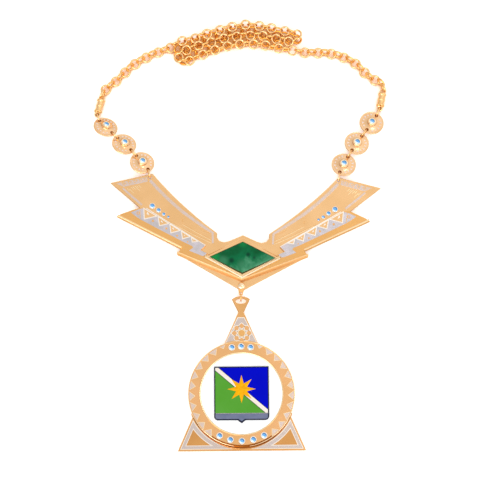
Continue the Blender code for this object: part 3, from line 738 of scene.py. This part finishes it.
ring = {
    "section": [(25, 2.8), (32.1, 2.8), (32.2, 2.9), (32.2, 4.7), (32.1, 4.8), (25, 4.8)],
    "lips": [[(24.6, 4.2), (24.62, 4.5), (24.8, 4.85), (25.05, 4.99), (25.25, 4.99), (25.42, 4.78), (25.42, 4.2)],
             [(31.78, 4.6), (31.78, 4.82), (31.92, 5), (32.12, 5), (32.26, 4.84), (32.26, 4.3)]],
    # in front only: the dark chamfer rises through the rim, the foot stands out below it; both are painted shade and
    # reflection of the ring's wall on the plate
    "skirt": [(30.4, 0), (31.15, -0.1), (32.1, -1.35), (32.1, -2.6), (30.4, -2.6)],
    "skirts": [("ringShadeChamfer", "paintedShadeGold", (0, -0.9, 3.12), -4, 336, 132),
               ("ringShadeFoot", "cornerGold", (0, -1.8, 2.4), -2, 342, 144)],
    "top": 4.8, "steps": 128,
    "teeth": 11, "firstTooth": 111.4, "pitch": 11.85, "base": 9.4, "outer": 31.5, "point": 28.35,
    "stones": [78.6, 90, 101.4, 242.4, 256.2, 270, 283.8, 297.6], "stoneRadius": 28.8, "stoneSize": 3.6,
    "enamel": [(24.7, 2.8), (24.7, 4.25), (24.6, 4.36), (24.4, 4.4)],
}
finished(hoopFrom("ringBody", ring["section"], ring["steps"], 25), "ringGold", badgeFrame, "badge_ring")
# pale gold lips: painted highlights along the ring's inner and outer rims
lips = [hoopFrom("ringLips", section, ring["steps"], 50) for section in ring["lips"]]
finished(joined("ringLips", lips), "paleGold", badgeFrame)
for name, finish, spot, lean, start, sweep in ring["skirts"]:
    seat = badgeFrame @ moved(*spot) @ turned(lean, "X") @ turned(start)
    finished(hoopFrom(name, ring["skirt"], 48, 50, sweep), finish, seat)


def toothOutlines(wider=0.0, longer=0.0):
    # triangles along both sides, the first of them smaller
    rows = []
    for number in range(ring["teeth"]):
        share, shorter = (1, 0) if number else (0.62, 1.4)
        turn, half = ring["firstTooth"] + ring["pitch"] * number, ring["base"] / 2 * share + wider
        outer = arcPoints(ring["outer"], turn - half, turn + half, 3)
        rows.append(outer + [spoke(ring["point"] + shorter - longer, turn)])
    return bothSides(rows)


dress(badgeFrame, ring["top"],
      ("toothRims", "paleGold", toothOutlines(0.55, 0.45), 0.03), ("ringTeeth", "blushSilver", toothOutlines(), 0.08))
setStones("ring", [(badgeFrame @ moved(*spoke(ring["stoneRadius"], angle), ring["top"]), ring["stoneSize"])
                   for angle in ring["stones"]])
enamelDisc = smoothed(turnedUp("enamelDisc", ring["enamel"], ring["steps"]), 40)
finished(enamelDisc, "whiteEnamel", badgeFrame, "enamel_disc")

shield = {
    "top": 5.2,
    "field": [(15.8, 15.7), (15.8, -14.2), (15.5, -15), (14.7, -15.5), (1.9, -15.5), (0, -17)],
    "baseTop": -11.9, "baseLine": [(15.6, -12.25), (15.6, -12), (-15.6, -12), (-15.6, -12.25)],
    "bend": [(-15.8, 15.7), (15.8, -11.5)], "bendHalf": 1.5, "overlap": 0.3,
    "star": {"centre": (0, 2.6), "outer": 8.6, "inner": 3.6, "rays": 8, "edge": 5.38, "peak": 5.84},
}


def layField(name, finish, rise, *cuts):
    # the field, cut by planes of (point, normal); the side that the normal points to goes
    left = [(-x, y) for x, y in reversed(shield["field"]) if x > 0]
    piece = plateFrom(name, shield["field"] + left, shield["top"] - 0.02, shield["top"] + rise)
    for point, normal in cuts:
        startEdit()
        bpy.ops.mesh.bisect(plane_co=(*point, 0), plane_no=(*normal, 0), use_fill=True, clear_outer=True)
        closeEdit()
    finished(softened(piece, 0.04), finish, badgeFrame)


bendStart, bendEnd = (Vector(end) for end in shield["bend"])
bendSide = (bendEnd - bendStart).normalized().orthogonal()
upper, lower = bendStart + bendSide * shield["bendHalf"], bendStart - bendSide * shield["bendHalf"]
overlap, aboveBase = bendSide * shield["overlap"], ((0, shield["baseTop"]), (0, -1))
layField("blueField", "blueEnamel", 0.1, (upper, -bendSide), aboveBase)
layField("greenField", "greenEnamel", 0.1, (lower, bendSide), aboveBase)
layField("bend", "setting", 0.14, (upper - overlap, bendSide), (lower + overlap, -bendSide), aboveBase)
layField("baseField", "greyEnamel", 0.08, ((0, shield["baseTop"] - 0.5), (0, 1)))
dress(badgeFrame, shield["top"], ("baseLine", "silver", [shield["baseLine"]], 0.14))

# a fan of facets with its middle raised
star = shield["star"]
bpy.ops.mesh.primitive_circle_add(vertices=star["rays"] * 2, radius=1, fill_type="TRIFAN")
starPiece = named("star")
rim = [point for point in starPiece.data.vertices if point.co.length > 0.5]
for number, point in enumerate(rim):
    point.co *= star["inner"] if number % 2 else star["outer"]
for point in starPiece.data.vertices:
    point.co += Vector((*star["centre"], star["edge"] if point.co.length > 0.5 else star["peak"]))
startEdit()
bpy.ops.mesh.select_all(action="DESELECT")
bpy.ops.mesh.select_mode(type="EDGE")
bpy.ops.mesh.select_non_manifold()
drawOut((0, 0, -0.12))
bpy.ops.mesh.edge_face_add()
closeEdit()
finished(starPiece, "yellowEnamel", badgeFrame)
print("ring and shield dressed")


# ---- bail and the ring in the badge's eye ----

bail = {"place": (-0.35, -17.9), "ball": (2.3, 2.3, 1.5), "ballAt": (-0.3, 0, 3.6),
        "tongue": [(1.5, 0.2), (2, 1.2), (1.85, 2), (1.6, 2.9), (1.35, 4), (1.2, 5), (0.85, 5.6)],
        "eyeRing": {"radius": 2.3, "wire": 0.8, "steps": 40, "wireSteps": 12, "y": 60.1, "height": 2.75}}
startPoint = breastPlace @ Vector((*bail["place"], 0))
ringPoint = badgePlace @ Vector((0, bail["eyeRing"]["y"], 0))
heading = ringPoint + Vector((0, bail["eyeRing"]["radius"], 0)) - startPoint
hanging = toMetres @ moved(*startPoint) @ facing(heading)
bpy.ops.mesh.primitive_uv_sphere_add(segments=32, ring_count=16, radius=1)
ball = place(named("bailBall"), moved(*bail["ballAt"]) @ sized(*bail["ball"]))
bpy.ops.mesh.primitive_cylinder_add(vertices=24, radius=0.7, depth=3.1)
pin = place(named("bailPin"), moved(0, 0, 1.85))
finished(smoothed(joined("bailBead", [ball, pin]), 40), "beadGold", hanging, "bail")
tongue = turnedUp("bailTongue", bail["tongue"], 24)
place(tongue, moved(0, 0, 3.4) @ turned(7, "Y") @ sized(1, 1, 0.5) @ turned(90, "Y"))
drilled(tongue, (heading.length, 0, 2.8), 0.72, 6, 20)
finished(smoothed(tongue, 40), "slopeGold", hanging, "bail")
seat = toMetres @ moved(ringPoint.x, ringPoint.y, bail["eyeRing"]["height"]) @ turned(90.5) @ turned(90, "X")
# the ring in the eye is in a darker gold: painted shade of the hole
finished(wireRing("eyeRing", bail["eyeRing"]), "shadedWireGold", seat, "eye_ring")
print("bail made")


# ---- discs, jump rings and connectors ----

discs = {
    "sides": 64,
    "profile": [(7.5, 0), (7.7, 0.15), (7.7, 0.72), (7.6, 0.86), (7.4, 0.93), (7.15, 0.86), (6.3, 0.92), (4.4, 1.18),
                (3.3, 1.5), (2.95, 1.75), (2.8, 2.15), (2.75, 2.75), (2.6, 2.95), (2.4, 3.03), (1.9, 3.03)],
    "holeAt": 5.9, "holeRadius": 1.1, "stone": 3.7, "stoneHeight": 3,
    # a dark hoop in a hole that a jump ring goes through: painted shade of the hole's wall
    "shadeHoop": [(0.58, 0.12), (1.12, 0.12), (1.12, 0.97), (0.58, 0.9)],
    # place, rise and the lean along x and y
    "left": [(-86.6, 84.9, 4, 17, 24.5), (-74.7, 73.8, 3.3, 14, 19), (-63.2, 61.8, 2.6, 11, 14)],
    "right": [(81.4, 88.2, 2.7, 4, 6), (71.8, 74.7, 2.6, 5, 6), (63.4, 60.5, 2.7, 2, 8)],
    "wingHole": (58.9, 51.2, 2.25), "ringInHole": 0.45, "lowestRing": 3.17,
    "jumpRing": {"radius": 2.7, "wire": 0.84, "steps": 36, "wireSteps": 12},
}
connectors = {
    # place and direction
    "left": ((-92.1, 94), (0.226, 0.974)), "right": ((86.8, 98.1), (0.185, 0.983)),
    "height": 2.6,
    # half of the barrel's profile; the other half mirrors it
    "length": 11.8, "profile": [(2.1, 1.6), (2.45, 1.7), (2.58, 1.9), (2.58, 2.5), (2.45, 2.7), (2.1, 2.8), (1.95, 3),
                                (1.95, 5.2), (2.15, 5.35), (2.25, 5.6)],
    "lug": {"wide": 1.8, "high": 0.5, "end": 1.7, "upper": 11.6, "hole": 1.1},
    # a dark hoop in the lug's hole: painted shade of its wall
    "shadeHoop": [(0.58, -0.4), (1.12, -0.4), (1.12, 0.42), (0.58, 0.36)],
}
bothEnds = (-discs["holeAt"], discs["holeAt"])


def discPattern():
    body = turnedUp("discPattern", discs["profile"], discs["sides"])
    for end in bothEnds:
        drilled(body, (end, 0, 0), discs["holeRadius"], 6)
    return smoothed(body, 28)


def discOrnament():
    # silver points and dots between the two holes
    rows = []
    for turn in [side + 35 + number * 22 for side in (0, 180) for number in range(6)]:
        point = arcPoints(6.2, turn - 7, turn + 7, 1) + [spoke(4.6, turn)]
        rows.append(roundOutline(*spoke(5.4, turn), 0.55, 8) if len(rows) % 2 else point)
    return joined("discOrnament", [plateFrom("discOrnament", row, 0.8, 1.16) for row in rows])


def discPlace(row, before, after):
    # a leaning disc, with its holes on the line from the stop before to the stop after
    x, y, rise, leanX, leanY = row
    normal = Vector((math.tan(math.radians(leanX)), math.tan(math.radians(leanY)), 1)).normalized()
    along = Vector((after[0] - before[0], after[1] - before[1], 0)).normalized()
    across = normal.cross(along).normalized()
    return moved(x, y, rise) @ Matrix((across.cross(normal), across, normal)).transposed().to_4x4()


discShape, ornamentShape = discPattern(), discOrnament()
shadeHoopShape = hoopFrom("holeShadeHoop", discs["shadeHoop"], 20, 40)
jump = wireRing("jumpPattern", discs["jumpRing"])
discSeats = []
for side, sign in (("left", -1), ("right", 1)):
    ending, start = side.capitalize(), connectors[side][0]
    wingHole = breastPlace @ sized(sign, 1, 1) @ Vector(discs["wingHole"])
    stops = [start, *discs[side], wingHole]
    holes = [Vector((*start, connectors["height"]))]
    ornaments, shadeHoops = [], []
    for number, row in enumerate(discs[side], 1):
        spot = discPlace(row, stops[number - 1], stops[number + 1])
        disc = copyTo(discShape, asPlaced)
        disc.name = disc.data.name = f"disc{ending}{number}"
        finished(disc, "discGold", toMetres @ spot, f"disc_{side}_{number}")
        ornaments.append(copyTo(ornamentShape, toMetres @ spot))
        discSeats.append((toMetres @ spot @ moved(0, 0, discs["stoneHeight"]), discs["stone"]))
        holes += [spot @ Vector((end, 0, discs["ringInHole"])) for end in bothEnds]
        shadeHoops += [copyTo(shadeHoopShape, toMetres @ spot @ moved(end)) for end in bothEnds]
    holes.append(wingHole)
    finished(joined("discOrnament" + ending, ornaments), "discInlay", asPlaced)
    # the dark hoops in the holes are painted shade
    finished(joined("holeShadeHoops" + ending, shadeHoops), "paintedShadeGold", asPlaced)
    rings = []
    for one, other in zip(holes[::2], holes[1::2]):
        middle = (one + other) / 2
        middle.z = max(middle.z, discs["lowestRing"])
        rings.append(copyTo(jump, toMetres @ moved(*middle) @ facing(other - one) @ turned(90, "X")))
    stoodFor = [f"jump_ring_{side}_{number}" for number in (1, 2, 3, 4)]
    finished(joined("jumpRings" + ending, rings), "wireGold", asPlaced, *stoodFor)
setStones("disc", discSeats, finish="bezelLight")

lug, profile = connectors["lug"], connectors["profile"]
profile += [(radius, connectors["length"] - height) for radius, height in reversed(profile)]
for side in ("left", "right"):
    ending, (start, aim) = side.capitalize(), connectors[side]
    barrel = place(turnedUp("barrel", profile, 40), turned(90, "Y"))
    ends = [(lug["end"] * x, lug["wide"] * y) for y, x in arcPoints(1, 0, 180, 12)]
    outline = [(lug["upper"] + x, y) for x, y in ends] + [(-x, -y) for x, y in ends]
    tongue = plateFrom("lug", outline, -lug["high"], lug["high"])
    for at in (0, lug["upper"]):
        drilled(tongue, (at, 0, 0), lug["hole"], 4)
    whole = smoothed(joined("connector" + ending, [barrel, softened(tongue, 0.15, 2)]), 35)
    seat = toMetres @ moved(*start, connectors["height"])
    finished(whole, "wireGold", seat @ facing(aim), "connector_" + side)
    # the lug's dark hoop is painted shade
    finished(hoopFrom("lugShadeHoop" + ending, connectors["shadeHoop"], 20, 40), "paintedShadeGold", seat)
print("discs, jump rings and connectors made")


# ---- chain ----

chain = {
    "radius": 2.78, "wire": 1.22, "links": 88, "steps": 22, "wireSteps": 8,
    # the lean of standing links and the tilt of lying ones, each with its spread
    "lean": (84, 6), "tilt": (10, 9),
    # the heap: where it lies, its looser lean, tilt and lift, and how far its links are raised and moved
    "heap": {"left": -44, "right": 38, "front": 127.5, "lean": (99, 9), "tilt": (14, 12), "lift": 0.7,
             "raised": 2.7, "stray": 0.4, "apart": 0.5},
    "route": [
        (-89, 107.6), (-88.6, 109.4), (-86.2, 112), (-80, 117.3), (-74, 123.8), (-67.2, 129.6),
        (-56.5, 135.5), (-48.4, 138.4), (-41.2, 142.4), (-32.7, 144.8), (-24.7, 147.6), (-17.5, 150.3),
        (-8.6, 152.5), (-0.6, 154.4), (11.8, 153.5), (22.8, 151.3), (30.8, 149.8), (35.2, 146.5), (31, 143.4),
        (23.9, 144.9), (16, 146.1), (7.8, 147.8), (-1.5, 147.3), (-9.5, 146.1), (-17.9, 143.7), (-25.1, 141.2),
        (-32.5, 139), (-38.8, 136), (-41.4, 132.4), (-38, 130), (-32.4, 131), (-23, 135.1),
        (-14.6, 138.5), (-6.4, 140.5), (2.5, 141.8), (11, 141), (19.9, 139.4), (28.5, 137.7), (37.4, 136.5),
        (46.2, 136.2), (55.6, 135.7), (63.8, 133.3), (71.5, 129.2), (77, 123.4), (82.2, 118.5), (85.8, 117),
        (88.4, 115), (89.4, 113), (89.4, 111.8),
    ],
    # what lies under the heap, between its rows
    "under": [[(-41, 133.6), (-37.6, 131.6)],
              [(-41, 138.6), (-36, 140.6), (-30, 142.6)],
              [(-27, 144.2), (-19, 147.1), (-9, 149.4), (0, 150.9), (12, 150.3), (22, 148.1), (29, 146.7),
               (34.6, 145.2)],
              [(-36, 133.4), (-29, 135.6), (-20, 139.2), (-8, 143.2), (3, 144.6), (14, 143.4),
               (27, 140.6)]],
    "underLean": (30, 22), "underPitch": 4.3,
}


def smoothRoute(points, count):
    # even points along a smooth curve through the route
    points = [Vector(point) for point in points]
    padded = [points[0] * 2 - points[1], *points, points[-1] * 2 - points[-2]]
    fine = []
    for a, b, c, d in zip(padded, padded[1:], padded[2:], padded[3:]):
        linear, square, cubic = c - a, 2 * a - 5 * b + 4 * c - d, 3 * b - a - 3 * c + d
        fine += [b + (linear * t + square * t**2 + cubic * t**3) / 2 for t in (step / 20 for step in range(20))]
    fine.append(points[-1])
    lengths = [0]
    for here, after in zip(fine, fine[1:]):
        lengths.append(lengths[-1] + (after - here).length)
    even, at = [], 0
    for number in range(count):
        wanted = lengths[-1] * number / (count - 1)
        while at < len(fine) - 2 and lengths[at + 1] < wanted:
            at += 1
        share = (wanted - lengths[at]) / (lengths[at + 1] - lengths[at])
        even.append(fine[at].lerp(fine[at + 1], min(share, 1)))
    return even


linkShape = wireRing("linkPattern", chain)
lyingLinks, standingLinks, underLinks = [], [], []


def mannerOf(number, spot):
    # a link's row, its lean with the spread, its lift and the least height of its middle
    heap = chain["heap"]
    inHeap = heap["left"] < spot.x < heap["right"] and spot.y > heap["front"]
    manner, raised = (heap, heap["raised"]) if inHeap else (chain, 0)
    lift = random.uniform(0, heap["lift"]) if inHeap else 0
    if number in (0, chain["links"] - 1):
        return lyingLinks, 90, 0, 0, 0
    if number % 2:
        return lyingLinks, *manner["tilt"], lift, chain["wire"] * 1.5 + raised
    return standingLinks, *manner["lean"], lift * 0.5, 0


def layRun(points, count, under=()):
    # each link stands on its rim, leaning to the front
    spots = smoothRoute(points, count)
    for number, spot in enumerate(spots):
        along = (spots[min(number + 1, count - 1)] - spots[max(number - 1, 0)]).normalized().to_3d()
        row, middle, spread, lift, lowest = under or mannerOf(number, spot)
        if lift:
            spot = spot + Vector((random.uniform(-1, 1), random.uniform(-1, 1))) * chain["heap"]["stray"]
            spot.y += chain["heap"]["apart"] if row is standingLinks else -chain["heap"]["apart"]
        lean = math.radians(middle + random.uniform(-spread, spread))
        side = Vector((-along.y, along.x, 0)) * (-1 if along.x > 0 else 1)
        normal = Vector((0, 0, 1)) * math.cos(lean) + side * math.sin(lean)
        height = max(chain["radius"] * abs(math.sin(lean)) + chain["wire"] / 2 + 0.02, lowest) + lift
        turn = Matrix((along, normal.cross(along), normal)).transposed().to_4x4()
        row.append(copyTo(linkShape, toMetres @ moved(*spot, height) @ turn))


layRun(chain["route"], chain["links"])
for points in chain["under"]:
    reach = sum(math.dist(a, b) for a, b in zip(points, points[1:]))
    layRun(points, round(reach / chain["underPitch"]) + 1, (underLinks, *chain["underLean"], 0, 0))
finished(joined("lyingLinks", lyingLinks), "wireGold", asPlaced, "chain")
# standing links in a darker gold and the links under the heap in a deeper one: painted shade
finished(joined("standingLinks", standingLinks), "shadedWireGold", asPlaced, "chain")
finished(joined("underLinks", underLinks), "deepShadeGold", asPlaced, "chain")
print("chain linked:", len(lyingLinks) + len(standingLinks) + len(underLinks), "links")

for pattern in (stoneShape, collarShape, grainShape, discShape, ornamentShape, shadeHoopShape, jump, linkShape):
    bpy.data.objects.remove(pattern)


# ---- floor, light and camera ----

stage = {
    "floorSize": 6, "aim": (0.0046, 0.0101, 0.002), "distance": 1, "elevation": 75, "lens": 116.13,
    "paper": (0.95, 0.9, 0.88), "lift": (0.22, 0.16, 0.13),
    # two tones, by the plates and behind them, and where they meet; behind the plates the glow and the paper seen in
    # reflections are warm, a painted gold-toned shade and reflection
    "backEdge": (0.09, 0.102), "glow": ((1, 0.86, 0.76), (1, 0.5, 0.26)), "glowStrength": 0.34,
    "mirrored": ((0.85, 0.83, 0.82), (0.95, 0.79, 0.56)),
    # between the links the paper glows in the tone of the gold, a painted shade
    "shade": (0.61, 0.25, 0.08), "shadeReach": 0.0065, "shadeRange": (0.62, 0.38, 0, 1),
    # the sky from the table up, to the front and from left to right
    "sky": [(0, (0.5, 0.5, 0.5)), (0.5, (1, 1, 1)), (0.25, (0.88, 0.88, 0.88))],
    "skyFront": (-0.5, -0.95, 1, 1.3), "skyAcross": (-0.6, 0.5, 0.8, 1.14),
    # place, size and power
    "lights": {"frontLeftBox": ((-0.45, -0.8, 0.62), (0.9, 0.6), 6),
               "frontRightBox": ((0.75, -0.55, 0.55), (0.35, 0.35), 1.2),
               "topRightBox": ((0.33, 0.09, 0.97), (0.2, 0.2), 0.6)},
}
bpy.ops.mesh.primitive_plane_add(size=stage["floorSize"], location=(0, 0, -0.0002))
floor = named("floor")
paper, tree, shader = newMaterial("paper")
where = addNode(tree, "SeparateXYZ", {"Vector": addNode(tree, "TexCoord")["Object"]})
behind = ranged(tree, where["Y"], *stage["backEdge"])
fillSockets(tree, shader, {
    "Base Color": stage["paper"], "Roughness": 0.9, "Specular IOR Level": 0.05,
    "Emission Color": blended(tree, behind, *stage["glow"]), "Emission Strength": stage["glowStrength"],
})
plain = tree.nodes["Principled BSDF"].outputs["BSDF"]
lift = addNode(tree, "BsdfDiffuse", {"Color": stage["lift"]})["BSDF"]
lifted = addNode(tree, "AddShader", {0: plain, 1: lift})["Shader"]
# where metal stands close, the paper glows in the gold's tone instead: painted shade
openness = addNode(tree, "AmbientOcclusion", {"Distance": stage["shadeReach"]}, samples=12)["AO"]
shade = reckoned(tree, "MULTIPLY", ranged(tree, openness, *stage["shadeRange"], "SMOOTHSTEP"), behind)
shadeGlow = addNode(tree, "Emission", {"Color": stage["shade"]})["Emission"]
seen = addNode(tree, "MixShader", {0: shade, 1: lifted, 2: shadeGlow})["Shader"]
# in reflections the paper is greyer, and warm behind the plates: a painted reflection
inMirrors = addNode(tree, "BsdfDiffuse", {"Color": blended(tree, behind, *stage["mirrored"])})["BSDF"]
direct = addNode(tree, "LightPath")["Is Camera Ray"]
surface = addNode(tree, "MixShader", {0: direct, 1: inMirrors, 2: seen})["Shader"]
fillSockets(tree, tree.nodes["Material Output"].inputs, {"Surface": surface})
floor.data.materials.append(paper)

# the sky is dimmer just above the table and a little brighter in front
world = bpy.data.worlds.new("studio")
bpy.context.scene.world = world
world.use_nodes = True
tree = world.node_tree
where = addNode(tree, "SeparateXYZ", {"Vector": addNode(tree, "TexCoord")["Generated"]})
front, across = ranged(tree, where["Y"], *stage["skyFront"]), ranged(tree, where["X"], *stage["skyAcross"])
glow = {"Vector": ramped(tree, where["Z"], *stage["sky"]), "Scale": reckoned(tree, "MULTIPLY", front, across)}
sky = addNode(tree, "VectorMath", glow, operation="SCALE")["Vector"]
fillSockets(tree, tree.nodes["Background"].inputs, {"Color": sky})

for name, (spot, size, power) in stage["lights"].items():
    aimed = (Vector(stage["aim"]) - Vector(spot)).to_track_quat("-Z", "Y")
    bpy.ops.object.light_add(type="AREA", location=spot, rotation=aimed.to_euler())
    lamp = bpy.context.object
    lamp.name = name
    lamp.data.shape = "RECTANGLE"
    lamp.data.size, lamp.data.size_y = size
    lamp.data.energy = power

elevation = math.radians(stage["elevation"])
away = Vector((0, -math.cos(elevation), math.sin(elevation))) * stage["distance"]
bpy.ops.object.camera_add(location=Vector(stage["aim"]) + away, rotation=(math.pi / 2 - elevation, 0, 0))
camera = bpy.context.object
camera.data.lens = stage["lens"]
camera.data.clip_start, camera.data.clip_end = 0.01, 20.0
bpy.context.scene.camera = camera
bpy.context.scene.view_settings.view_transform = "Standard"
